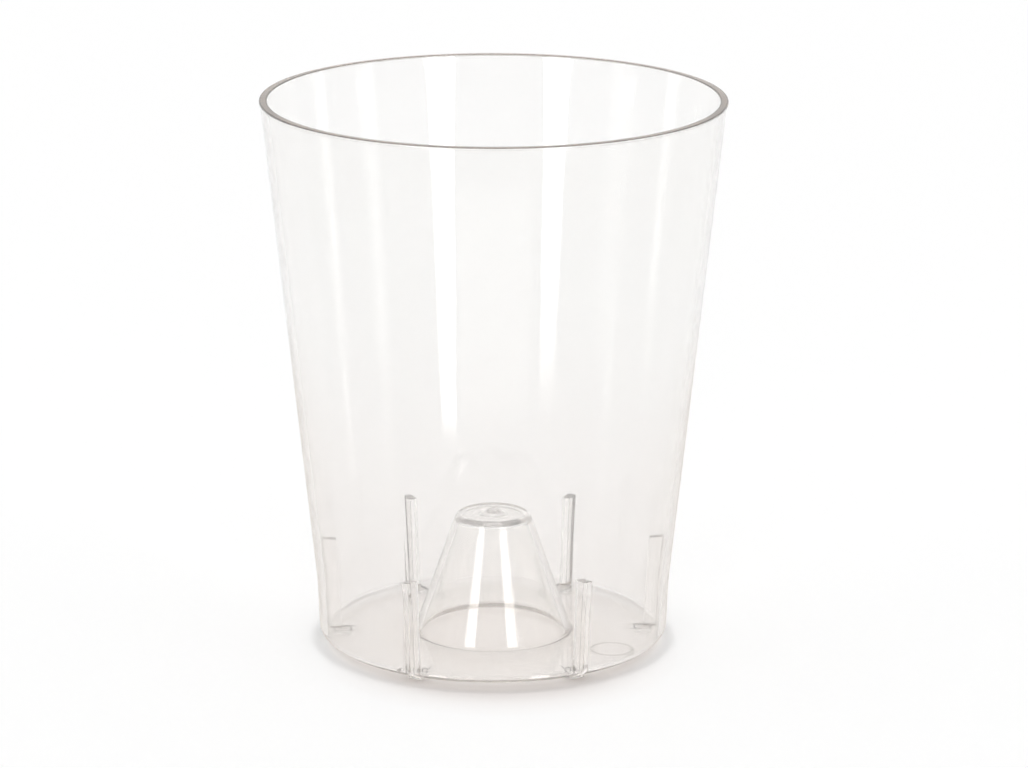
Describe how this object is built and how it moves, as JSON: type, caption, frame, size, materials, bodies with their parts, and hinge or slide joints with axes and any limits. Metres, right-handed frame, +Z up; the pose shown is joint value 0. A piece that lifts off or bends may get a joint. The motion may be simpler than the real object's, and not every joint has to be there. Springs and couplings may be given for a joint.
{
  "type": "orchid pot",
  "caption": "Clear tapered orchid pot with a flat rim lip, a hollow raised cone in the floor, upright ribs inside the wall that carry a growing pot, and low feet.",
  "frame": {"origin": "middle of the foot soles, on the pot's axis", "axes": "+Z up along the pot's axis towards the mouth, -Y towards the front of the picture, a rib on +X"},
  "size_m": [0.13, 0.13, 0.1562],
  "materials": {
    "clear_plastic": "clear hard plastic, polished faces"
  },
  "bodies": {
    "root": {"rim_lip": "clear_plastic", "side_wall": "clear_plastic", "heel_band": "clear_plastic", "floor_ring": "clear_plastic", "centre_cone": "clear_plastic", "cone_cap": "clear_plastic", "gate_nub": "clear_plastic", "rib_1": "clear_plastic", "rib_2": "clear_plastic", "rib_3": "clear_plastic", "rib_4": "clear_plastic", "rib_5": "clear_plastic", "rib_6": "clear_plastic", "foot_1": "clear_plastic", "foot_2": "clear_plastic", "foot_3": "clear_plastic", "foot_4": "clear_plastic", "foot_5": "clear_plastic", "foot_6": "clear_plastic"}
  },
  "joints": []
}
